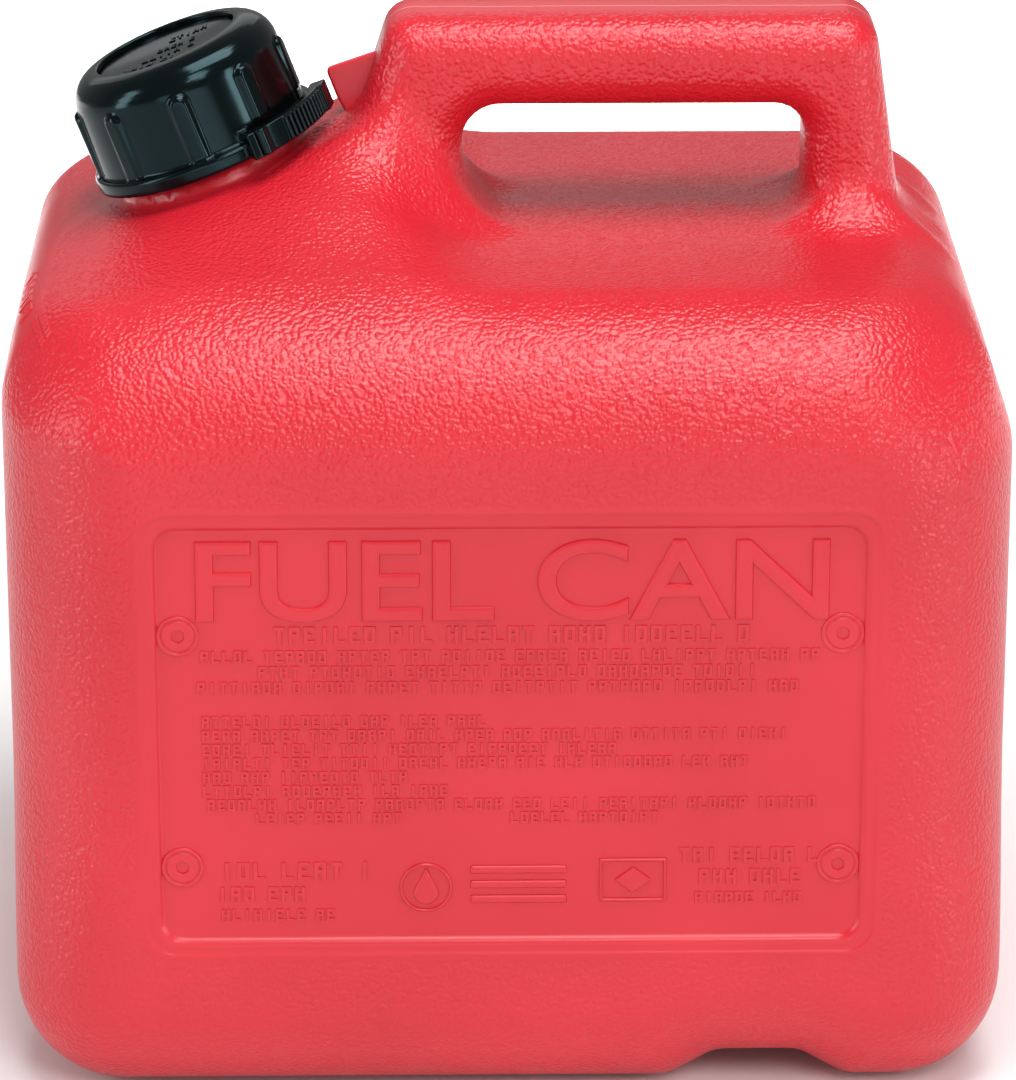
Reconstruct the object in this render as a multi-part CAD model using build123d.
from build123d import *
import os
from math import cos, radians, sin, tan

# Safety gas can: a hollow blow-moulded tank with a carrying handle, a screw cap with a squeeze
# lever, and a self-closing spout kept upside down inside the neck. Sizes are in millimetres.
# X runs from the neck end to the far end, the front panel faces -Y, and Z is up.
# The origin is on the ground under the middle of the tank.

os.makedirs("parts", exist_ok=True)

# Tank body
LENGTH = 251.0
WIDTH = 210.0
DECK = 207.0  # height of the flat top under the handle
WALL = 2.6
CORNER = 38.0  # the four upright corners, seen from above
SHOULDER = 38.0  # front and rear top edges
FOOT = 28.0  # bottom edges
BEND = 180.0  # height where the neck end starts to lean in
LEAN = tan(radians(11))
CHANNEL_X = 63.0  # finger channel across the underside
CHANNEL_HEIGHT = 7.0

# Neck: its own frame, tilted towards the neck end. Heights on it start under the cap's rim.
NECK_TILT = 21.0
NECK_X = -76.0
NECK_Z = 223.3
PLATFORM = -5.0  # sloping top of the tank around the neck
BORE = 20.0
NECK = 22.2
NECK_TOP = 19.0
COLLAR_SEAT = 26.5  # short thick ring at the root of the neck
PITCH = 8.0
THREAD_DEPTH = 2.0
THREAD_ROOT_WIDTH = 3.6
THREAD_CREST_WIDTH = 1.6

# Handle
HANDLE_DEPTH = 35.0
HANDLE_TOP = 260.3
HANDLE_ROUND = 9.0
HOLE_LEFT = -11.0
HOLE_RIGHT = 76.5
HOLE_TOP = 237.0

# Panel on the front and on the rear
PANEL_X = 90.5
PANEL_LOW = 44.0
PANEL_HIGH = 160.0
BAND = 4.0
BAND_DEPTH = 0.4
PANEL_DEPTH = 1.8

# Cap
CAP_RIM = 29.9
CAP_RIM_HEIGHT = 4.0
CAP_WALL_LOW = 27.9
CAP_WALL_HIGH = 27.2
DOME = 8.0
DOME_START = 22.0
DISH = 18.7
CAP_INSIDE = 25.0
RIBS = 9
RIB_WIDTH = 5.0
RIB_OUT = 28.8
FIRST_RIB = 272.0
SEAL_THICKNESS = 1.3
DISC_EDGE = 1.8
DISC_TOP = 28.4
DISH_CURVE = 170.0  # radius of the dish's shallow hollow

# Squeeze lever on the cap's rim
LEVER_HEIGHT = 7.0
LEVER_INSIDE = 31.2
LEVER_OUTSIDE = 34.4
LEVER_GRIP = 35.0
LEVER_PIVOT = 33.0
LEVER_START = -58.0  # angle round the neck, 0 towards the handle, negative towards the front
LEVER_END = -5.0
FIN_EDGE = 35.4  # distance of the lock fin's edge from the neck's centre line
FIN_TOP = 8.6
FIN_THICKNESS = 3.0

# Spout, measured along the neck's frame, so all but its flange has negative heights
GASKET = 1.2
FLANGE = 2.0
SKIRT = 19.3
SKIRT_WALL = 2.0
FUNNEL_TOP = 8.0
FUNNEL_END = -12.0
TUBE = 9.0
TUBE_INSIDE = 7.3
TUBE_END = -138.0
WIPER_HEIGHT = -130.0
SLEEVE = 11.0
SLEEVE_INSIDE = 9.6
SLEEVE_TOP = -66.0
SLEEVE_END = -160.0
SLEEVE_BEAD = 0.4  # how far the bead at the sleeve's top stands out
CATCH_LOW = -106.0
CATCH_HEIGHT = 6.0
TIP_TOP = -154.0
TIP_END = -170.0
TIP_BORE = 6.2
TIP_RIM = 8.4
SPIDER_TOP = -24.0
SPIDER_HEIGHT = 8.0
ROD = 1.6
ROD_END = -179.0
VALVE_TOP = -165.0
VALVE_END = -175.0
VALVE_BOSS = 5.4
VALVE_HEAD = 8.0
VALVE_SEAL_HEIGHT = -168.0
SPRING_SEAT = -34.0
SPRING_SEAT_HEIGHT = 2.5
SPRING_WIRE = 0.7
SPRING_RADIUS = 10.3
SPRING_TURNS = 7
VENT_OFFSET = 4.8
VENT = 1.8
VENT_BORE = 1.2
VENT_TOP = 2.0
VENT_END = -137.0

SLIDING_GAP = 0.3
FIXED_GAP = 0.05


# Helpers

def rounded_outline(corners):
    """A face through the corners (across, up, corner radius), each corner turned by an arc."""
    arcs = []
    for i, (across, up, radius) in enumerate(corners):
        here = Vector(across, up)
        before = (Vector(*corners[i - 1][:2]) - here).normalized()
        after = (Vector(*corners[(i + 1) % len(corners)][:2]) - here).normalized()
        half = radians(before.get_angle(after) / 2)
        cut = radius / tan(half)
        middle = (before + after).normalized() * (radius / sin(half) - radius)
        arcs.append((here + before * cut, here + middle, here + after * cut))
    edges = []
    for i, (start, middle, end) in enumerate(arcs):
        following = arcs[(i + 1) % len(arcs)][0]
        edges.append(ThreePointArc(start, middle, end))
        edges.append(Line(end, following))
    return make_face(edges)


def inset_face(face, inset):
    """The face with its outline moved in by inset, or out if inset is negative."""
    if inset == 0:
        return face
    return offset(face, amount=-inset, kind=Kind.INTERSECTION)


def neck_frame():
    """Frame with Z along the neck, X towards the handle and its origin under the cap's rim."""
    tilt = radians(NECK_TILT)
    return Plane(
        origin=(NECK_X, 0, NECK_Z),
        x_dir=(cos(tilt), 0, sin(tilt)),
        z_dir=(-sin(tilt), 0, cos(tilt)),
    )


def neck_point(out, along):
    """X and Z of the point that far out from the neck's centre line and along it."""
    tilt = radians(NECK_TILT)
    x = NECK_X + out * cos(tilt) - along * sin(tilt)
    z = NECK_Z + out * sin(tilt) + along * cos(tilt)
    return x, z


def turned(profile):
    """A solid of revolution about Z from (radius, height) points."""
    return revolve(Plane.XZ * make_face(Polyline(*profile, close=True)), Axis.Z)


def tube(outer, inner, low, high):
    """A round tube about Z between two heights, or a rod if inner is 0."""
    body = Pos(0, 0, low) * extrude(Circle(outer), high - low)
    if inner > 0:
        body -= Pos(0, 0, low - 1) * extrude(Circle(inner), high - low + 2)
    return body


def sector(outer, inner, start, end, low, high):
    """Part of a flat ring about Z between two angles and two heights."""
    middle = (start + end) / 2
    outside = [polar(outer, start), polar(outer, middle), polar(outer, end)]
    inside = [polar(inner, end), polar(inner, middle), polar(inner, start)]
    outline = make_face([
        ThreePointArc(*outside),
        Line(outside[-1], inside[0]),
        ThreePointArc(*inside),
        Line(inside[-1], outside[0]),
    ])
    return Pos(0, 0, low) * extrude(outline, high - low)


def polar(radius, angle):
    return Vector(radius * cos(radians(angle)), radius * sin(radians(angle)))


def ring_of_round_wire(radius, wire, height):
    """An O-ring about Z."""
    return Pos(0, 0, height) * Torus(radius, wire)


def thread(root, crest, start_height, start_angle, turns):
    """A right-hand screw ridge from root to crest radius, as a swept trapezium."""
    path = Helix(PITCH, PITCH * turns, (root + crest) / 2)
    half = (crest - root) / 2
    section = make_face(Polyline(
        (-half, -THREAD_ROOT_WIDTH / 2),
        (half, -THREAD_CREST_WIDTH / 2),
        (half, THREAD_CREST_WIDTH / 2),
        (-half, THREAD_ROOT_WIDTH / 2),
        close=True,
    ))
    place = Plane(origin=path @ 0, x_dir=(1, 0, 0), z_dir=path % 0)
    ridge = sweep(place * section, path=path, is_frenet=True)
    return Pos(0, 0, start_height) * Rot(0, 0, start_angle) * ridge


def on_neck(part):
    """The part, built about Z, moved onto the neck."""
    return neck_frame() * part


def save(part, node):
    """Writes one node, checking that it is one sound solid."""
    solids = part.solids()
    print(node, "solids", len(solids), "volume", round(part.volume), "valid", part.is_valid)
    shape = solids[0] if len(solids) == 1 else Compound(solids)
    shape.label = node
    export_step(shape, f"parts/{node}.step")


# Tank

def platform_line():
    """Two corners of the sloping top round the neck: at the neck end's wall and at the handle."""
    high_x, high_z = neck_point(37, PLATFORM)
    slope = tan(radians(NECK_TILT))
    low_x = -LENGTH / 2 + 20.5 * LEAN
    low_z = high_z - (high_x - low_x) * slope
    return (low_x, low_z), (high_x, high_z)


def side_outline():
    """Front view of the tank below the deck, with the finger channel in its underside."""
    end = LENGTH / 2
    flat = 10.0
    slope = 12.0
    low, high = platform_line()
    deck_start = high[0] - (high[1] - DECK) / tan(radians(NECK_TILT))
    return rounded_outline([
        (-end, 0, FOOT),
        (-end, BEND, 25),
        (low[0], low[1], 20),
        (deck_start, DECK, 20),
        (end - 12.7, DECK, 24),
        (end, 169, 30),
        (end, 0, FOOT),
        (CHANNEL_X + flat + slope, 0, 12),
        (CHANNEL_X + flat, CHANNEL_HEIGHT, 8),
        (CHANNEL_X - flat, CHANNEL_HEIGHT, 8),
        (CHANNEL_X - flat - slope, 0, 12),
    ])


def end_outline():
    """End view of the tank below the deck."""
    side = WIDTH / 2
    return rounded_outline([
        (-side, 0, FOOT),
        (side, 0, FOOT),
        (side, DECK, SHOULDER),
        (-side, DECK, SHOULDER),
    ])


def plan_outline():
    return RectangleRounded(LENGTH, WIDTH, CORNER)


def mound_side_outline():
    """Front view of the sloping hill that carries the neck and the handle's near foot."""
    end = LENGTH / 2
    low, high = platform_line()
    return rounded_outline([
        (-end, 60, 1),
        (-end, BEND, 25),
        (low[0], low[1], 20),
        (high[0], high[1], 12),
        (-4, 198, 1),
        (-4, 60, 1),
    ])


def mound_end_outline():
    """End view of the same hill: a steep roof with a narrow top."""
    side = WIDTH / 2
    top = 236.0
    narrow = 14.0
    slope = tan(radians(27))
    return rounded_outline([
        (-side, 60, 1),
        (side, 60, 1),
        (side, top - (side - narrow) * slope, SHOULDER),
        (narrow, top, 12),
        (-narrow, top, 12),
        (-side, top - (side - narrow) * slope, SHOULDER),
    ])


def tank_body(inset):
    """The tank without handle and neck, every face moved in by inset."""
    plan = extrude(inset_face(plan_outline(), inset), 2 * DECK)
    body = extrude(Plane.XZ * inset_face(side_outline(), inset), WIDTH, both=True)
    body &= extrude(Plane.YZ * inset_face(end_outline(), inset), LENGTH, both=True)
    mound = extrude(Plane.XZ * inset_face(mound_side_outline(), inset), WIDTH, both=True)
    mound &= extrude(Plane.YZ * inset_face(mound_end_outline(), inset), LENGTH, both=True)
    return (body + mound) & plan


def handle(inset):
    """The handle's loop, its lower part buried in the tank, every face moved in by inset."""
    outline = rounded_outline([
        (-48, 200, 6),
        (-29, HANDLE_TOP, 8),
        (94, HANDLE_TOP, 9),
        (104, 190, 6),
        (60, 180, 6),
        (-20, 180, 6),
    ])
    hole = rounded_outline([
        (HOLE_LEFT, DECK, 14),
        (HOLE_LEFT, HOLE_TOP, 10),
        (HOLE_RIGHT, HOLE_TOP, 8),
        (HOLE_RIGHT, DECK, 8),
    ])
    half = HANDLE_DEPTH / 2 - inset
    face = inset_face(outline, inset) - inset_face(hole, -inset)
    loop = extrude(Plane.XZ * face, half, both=True)
    long_edges = loop.faces().filter_by(Axis.Y).edges()
    return fillet(long_edges, HANDLE_ROUND - inset)


def neck_outside():
    """Seat ring, tube and screw thread of the neck, reaching down into the tank."""
    ring = tube(COLLAR_SEAT, 0, -16, -1)
    stem = tube(NECK, 0, -16, NECK_TOP)
    ridge = thread(NECK - 0.2, NECK + THREAD_DEPTH, 5.5, 0, 1.35)
    return on_neck(ring + stem + ridge)


def neck_inside():
    """The way through the neck into the tank."""
    return on_neck(tube(COLLAR_SEAT - WALL, 0, -18, -1 - WALL) + tube(BORE, 0, -18, NECK_TOP + 1))


def lock_fin():
    """Thin upright fin between the neck and the handle, which the lever has to pass."""
    outline = make_face([
        Line((FIN_EDGE + 0.4, FIN_TOP), (54, FIN_TOP - 0.6)),
        Line((54, FIN_TOP - 0.6), (54, -9)),
        Line((54, -9), (FIN_EDGE + 1.6, -9)),
        ThreePointArc((FIN_EDGE + 1.6, -9), (FIN_EDGE + 0.4, 0), (FIN_EDGE + 0.4, FIN_TOP)),
    ])
    return on_neck(extrude(Plane.XZ * outline, FIN_THICKNESS / 2, both=True))


def panel_box(side, sink, inset):
    """Flat box that sinks the front (side -1) or rear (side 1) panel by that depth."""
    width = 2 * (PANEL_X - inset)
    height = PANEL_HIGH - PANEL_LOW - 2 * inset
    outline = RectangleRounded(width, height, 7 - inset / 2)
    middle = (PANEL_HIGH + PANEL_LOW) / 2
    box = extrude(Plane.XZ * Pos(0, middle) * outline, 2 * sink, both=True)
    return Pos(0, side * (WIDTH / 2 + sink), 0) * box


def panel_pins(side):
    """Round marks with a small hexagon, left by the screws that hold the mould's name plate."""
    pins = Part()
    floor = side * (WIDTH / 2 - PANEL_DEPTH)
    for across in (-81.5, 81.5):
        for up in (67.0, 128.5):
            disc = extrude(Plane.XZ * Pos(across, up) * Circle(5.3), 0.4, both=True)
            disc -= extrude(Plane.XZ * Pos(across, up) * RegularPolygon(1.6, 6), 1, both=True)
            pins += Pos(0, floor, 0) * disc
    return pins


def tank():
    """The blow-moulded tank: one hollow shell with its handle, neck, fin and panels."""
    outside = tank_body(0) + handle(0) + neck_outside() + lock_fin()
    inside = tank_body(WALL) + handle(WALL) + neck_inside()
    for side in (-1, 1):
        outside -= panel_box(side, BAND_DEPTH, 0)
        outside -= panel_box(side, PANEL_DEPTH, BAND)
        outside += panel_pins(side)
        inside -= panel_box(side, PANEL_DEPTH + WALL, BAND - WALL)
    return outside - inside


# Spout, stored upside down with its flange on the neck's rim

def neck_gasket():
    return tube(NECK, BORE + 0.2, NECK_TOP, NECK_TOP + GASKET)


def spout_body():
    """Flange on the neck's rim, funnel and the long inner tube, with a groove for its seal."""
    low = NECK_TOP + GASKET
    high = low + FLANGE
    groove = TUBE - 0.8
    groove_top = WIPER_HEIGHT + 1.1
    groove_low = WIPER_HEIGHT - 1.1
    return turned([
        (NECK, low),
        (NECK, high),
        (SKIRT - SKIRT_WALL, high),
        (SKIRT - SKIRT_WALL, FUNNEL_TOP + 0.5),
        (TUBE_INSIDE, FUNNEL_END - 1),
        (TUBE_INSIDE, TUBE_END),
        (TUBE, TUBE_END),
        (TUBE, groove_low),
        (groove, groove_low),
        (groove, groove_top),
        (TUBE, groove_top),
        (TUBE, FUNNEL_END),
        (SKIRT, FUNNEL_TOP),
        (SKIRT, low),
    ])


def wiper_seal():
    return ring_of_round_wire(TUBE - 0.25, 0.52, WIPER_HEIGHT)


def rod_spider():
    """Three-armed cross inside the tube that holds the valve rod, with an eye for the vent."""
    low = SPIDER_TOP - SPIDER_HEIGHT
    hub_radius = 2.8
    arm_length = TUBE_INSIDE - 0.2
    arm_width = 1.6
    spider = tube(hub_radius, 0, low, SPIDER_TOP)
    for angle in (90, 180, 270):
        arm = Box(arm_length, arm_width, SPIDER_HEIGHT)
        arm = Pos(TUBE_INSIDE / 2, 0, (low + SPIDER_TOP) / 2) * arm
        spider += Rot(0, 0, angle) * arm
    spider += Pos(VENT_OFFSET, 0, 0) * tube(VENT + 0.6, 0, low, SPIDER_TOP)
    spider -= tube(ROD + FIXED_GAP, 0, low - 1, SPIDER_TOP + 1)
    spider -= Pos(VENT_OFFSET, 0, 0) * tube(VENT + FIXED_GAP, 0, low - 1, SPIDER_TOP + 1)
    return spider & tube(TUBE_INSIDE - FIXED_GAP, 0, low, SPIDER_TOP)


def valve_rod():
    """Rod from the spider to the valve head, with a head that rests on the spider."""
    return tube(ROD, 0, ROD_END, SPIDER_TOP + 1) + tube(2.5, 0, SPIDER_TOP, SPIDER_TOP + 2)


def valve_head():
    """Mushroom that closes the spout's tip from outside, with a groove for its seal."""
    seat = TIP_END - SLIDING_GAP
    hole = ROD + FIXED_GAP
    groove = VALVE_BOSS - 1.4
    groove_top = VALVE_SEAL_HEIGHT + 0.9
    groove_low = VALVE_SEAL_HEIGHT - 0.9
    return turned([
        (hole, VALVE_TOP),
        (VALVE_BOSS, VALVE_TOP),
        (VALVE_BOSS, groove_top),
        (groove, groove_top),
        (groove, groove_low),
        (VALVE_BOSS, groove_low),
        (VALVE_BOSS, seat),
        (VALVE_HEAD, seat),
        (VALVE_HEAD - 0.4, VALVE_END),
        (hole, VALVE_END),
    ])


def valve_seal():
    return ring_of_round_wire(VALVE_BOSS - 0.5, 0.85, VALVE_SEAL_HEIGHT)


def valve_nut():
    """Hexagon nut that holds the valve head on the rod."""
    thickness = 2.95
    low = VALVE_END - FIXED_GAP - thickness
    nut = Pos(0, 0, low) * extrude(RegularPolygon(3.4, 6), thickness)
    return nut - tube(ROD + FIXED_GAP, 0, low - 1, VALVE_END + 1)


def vent_tube():
    """Thin pipe beside the rod that lets air back into the tank while pouring."""
    return Pos(VENT_OFFSET, 0, 0) * tube(VENT, VENT_BORE, VENT_END, VENT_TOP)


def spring_seat():
    """Snap ring on the tube that the spring pushes against."""
    low = SPRING_SEAT - SPRING_SEAT_HEIGHT
    return tube(SLEEVE + SLEEVE_BEAD, TUBE + FIXED_GAP, low, SPRING_SEAT)


def spout_spring():
    """Compression spring between the seat and the sleeve."""
    top = SPRING_SEAT - SPRING_SEAT_HEIGHT - SPRING_WIRE - 0.1
    low = SLEEVE_TOP + SPRING_WIRE + 0.1
    path = Helix((top - low) / SPRING_TURNS, top - low, SPRING_RADIUS)
    place = Plane(origin=path @ 0, x_dir=(1, 0, 0), z_dir=path % 0)
    return Pos(0, 0, low) * sweep(place * Circle(SPRING_WIRE), path=path, is_frenet=True)


def spout_sleeve():
    """Outer sleeve that slides back along the tube to open the spout."""
    bead = SLEEVE + SLEEVE_BEAD
    return turned([
        (SLEEVE_INSIDE, SLEEVE_TOP),
        (bead, SLEEVE_TOP),
        (bead, SLEEVE_TOP - 3),
        (SLEEVE, SLEEVE_TOP - 4),
        (SLEEVE, SLEEVE_END),
        (SLEEVE_INSIDE, SLEEVE_END),
    ])


def spout_tip():
    """Tapered nose in the end of the sleeve, with the seat that the valve head closes."""
    spigot = SLEEVE_INSIDE - FIXED_GAP
    return turned([
        (TIP_BORE, TIP_TOP),
        (spigot, TIP_TOP),
        (spigot, SLEEVE_END),
        (SLEEVE - 0.2, SLEEVE_END),
        (TIP_RIM, TIP_END),
        (TIP_BORE, TIP_END),
    ])


def catch_ring():
    """Ring on the sleeve with a hook that catches the edge of a vehicle's filler."""
    high = CATCH_LOW + CATCH_HEIGHT
    ring = tube(SLEEVE + 0.9, SLEEVE + FIXED_GAP, CATCH_LOW, high)
    hook_out = -SLEEVE - 5
    hook_root = -SLEEVE - 0.5
    hook = make_face(Polyline(
        (hook_root, CATCH_LOW),
        (hook_out, CATCH_LOW),
        (hook_out, CATCH_LOW + 1.6),
        (hook_out + 2.8, CATCH_LOW + 2.4),
        (hook_root, high),
        close=True,
    ))
    return ring + extrude(Plane.XZ * hook, 2.5, both=True)


# Cap

def closure_seal():
    """Flat ring between the spout's flange and the closure disc."""
    low = NECK_TOP + GASKET + FLANGE + 0.1
    return tube(NECK + 0.4, SKIRT - 1.5, low, low + SEAL_THICKNESS)


def closure_disc():
    """Dished disc in the cap's open top, which the collar presses onto the spout's flange."""
    low = NECK_TOP + GASKET + FLANGE + 0.1 + SEAL_THICKNESS
    boss = DISH - SLIDING_GAP
    disc = tube(NECK + 1, 0, low, low + DISC_EDGE) + tube(boss, 0, low, DISC_TOP)
    hollow = boss - 2.2
    hollow_top = DISC_TOP - 3.2
    disc -= turned([
        (0, low - 1),
        (hollow, low - 1),
        (hollow, low + 1),
        (hollow - 1.2, hollow_top),
        (0, hollow_top),
    ])
    lowest = DISC_TOP - 1.2
    return disc - Pos(0, 0, lowest + DISH_CURVE) * Sphere(DISH_CURVE)


def collar_profile():
    """Half section of the cap's collar, open at the top."""
    lip_under = NECK_TOP + GASKET + FLANGE + 3.5
    centre = CAP_WALL_HIGH - DOME
    top = DOME_START + DOME
    knee = centre + DOME * cos(radians(45))
    outline = [
        Line((CAP_INSIDE + 1.2, 0), (CAP_RIM - 0.6, 0)),
        Line((CAP_RIM - 0.6, 0), (CAP_RIM, 0.6)),
        Line((CAP_RIM, 0.6), (CAP_RIM, CAP_RIM_HEIGHT - 0.8)),
        Line((CAP_RIM, CAP_RIM_HEIGHT - 0.8), (CAP_RIM - 0.8, CAP_RIM_HEIGHT)),
        Line((CAP_RIM - 0.8, CAP_RIM_HEIGHT), (CAP_WALL_LOW, CAP_RIM_HEIGHT + 0.2)),
        Line((CAP_WALL_LOW, CAP_RIM_HEIGHT + 0.2), (CAP_WALL_HIGH, DOME_START)),
        ThreePointArc((CAP_WALL_HIGH, DOME_START), (knee, DOME_START + DOME * sin(radians(45))),
                      (centre, top)),
        Line((centre, top), (DISH, top - 0.5)),
        Line((DISH, top - 0.5), (DISH, lip_under)),
        Line((DISH, lip_under), (CAP_INSIDE - 0.6, lip_under)),
        Line((CAP_INSIDE - 0.6, lip_under), (CAP_INSIDE, lip_under - 0.6)),
        Line((CAP_INSIDE, lip_under - 0.6), (CAP_INSIDE + 1.2, 0)),
    ]
    return make_face(outline)


def cap_rib(angle):
    """One upright grip rib with a round upper end, from the rim to the dome."""
    low = CAP_RIM_HEIGHT - 1
    root = CAP_WALL_HIGH - 1.5
    half = RIB_WIDTH / 2
    straight = DOME_START - low - half
    outline = make_face([
        Line((half, straight), (half, 0)),
        Line((half, 0), (-half, 0)),
        Line((-half, 0), (-half, straight)),
        ThreePointArc((-half, straight), (0, straight + half), (half, straight)),
    ])
    place = Plane(origin=(root, 0, low), x_dir=(0, 1, 0), z_dir=(1, 0, 0))
    rib = extrude(place * outline, RIB_OUT - root)
    crest = rib.faces().sort_by(Axis.X)[-1]
    rib = fillet(crest.edges(), 1.2)
    return Rot(0, 0, angle) * rib


def lever_pocket():
    """Space behind the lever, cut into the rim and the lower ends of the ribs."""
    return sector(40, 28.2, LEVER_START - 1.5, 1, -1, LEVER_HEIGHT + 0.6)


def lever_lug():
    """Lug on the rim beside the lever's root, with a round socket for its knuckle."""
    lug = sector(LEVER_OUTSIDE, 27.5, LEVER_START - 7, LEVER_START - 1.5, 0, LEVER_HEIGHT)
    lug = chamfer(lug.edges().filter_by(Axis.Z).sort_by_distance((0, -50, 3))[0], 1.5)
    pivot = polar(LEVER_PIVOT, LEVER_START)
    return lug - Pos(pivot.X, pivot.Y, 0) * tube(2.0, 0, -1, LEVER_HEIGHT + 1)


def screw_collar():
    """The cap's turning part: rim, ribbed wall, domed shoulder and inner thread."""
    shell = revolve(Plane.XZ * collar_profile(), Axis.Z)
    for i in range(RIBS):
        shell += cap_rib(FIRST_RIB + i * 360 / RIBS)
    shell -= tube(CAP_INSIDE, 0, -1, 24)
    shell -= lever_pocket()
    shell += lever_lug()
    crest = NECK + 0.6
    ridge = thread(CAP_INSIDE + 0.9, crest, 5.5 - 2.7 + PITCH / 6, 60, 1.2)
    return shell + ridge


def release_lever():
    """Curved lever that is squeezed towards the cap to let its end pass the fin."""
    pivot = polar(LEVER_PIVOT, LEVER_START)
    lever = sector(LEVER_OUTSIDE, LEVER_INSIDE, LEVER_START, LEVER_END - 4, 0, LEVER_HEIGHT)
    lever += Pos(pivot.X, pivot.Y, 0) * tube(1.7, 0, 0, LEVER_HEIGHT)
    stop = sector(LEVER_GRIP, LEVER_INSIDE - 0.4, LEVER_END - 9, LEVER_END, 0, LEVER_HEIGHT)
    lever += chamfer(stop.edges().filter_by(Axis.Z), 0.9)
    grips = 11
    first, last = -45.0, -17.5
    for i in range(grips):
        angle = first + (last - first) * i / (grips - 1)
        grip = Pos(LEVER_OUTSIDE, 0, LEVER_HEIGHT / 2) * Box(1.2, 0.9, LEVER_HEIGHT - 1)
        lever += Rot(0, 0, angle) * grip
    return lever


save(tank(), "tank")
save(on_neck(neck_gasket()), "neck_gasket")
save(on_neck(spout_body()), "spout_body")
save(on_neck(wiper_seal()), "wiper_seal")
save(on_neck(rod_spider()), "rod_spider")
save(on_neck(valve_rod()), "valve_rod")
save(on_neck(valve_head()), "valve_head")
save(on_neck(valve_seal()), "valve_seal")
save(on_neck(valve_nut()), "valve_nut")
save(on_neck(vent_tube()), "vent_tube")
save(on_neck(spring_seat()), "spring_seat")
save(on_neck(spout_spring()), "spout_spring")
save(on_neck(spout_sleeve()), "spout_sleeve")
save(on_neck(spout_tip()), "spout_tip")
save(on_neck(catch_ring()), "catch_ring")
save(on_neck(closure_seal()), "closure_seal")
save(on_neck(closure_disc()), "closure_disc")
save(on_neck(screw_collar()), "screw_collar")
save(on_neck(release_lever()), "release_lever")
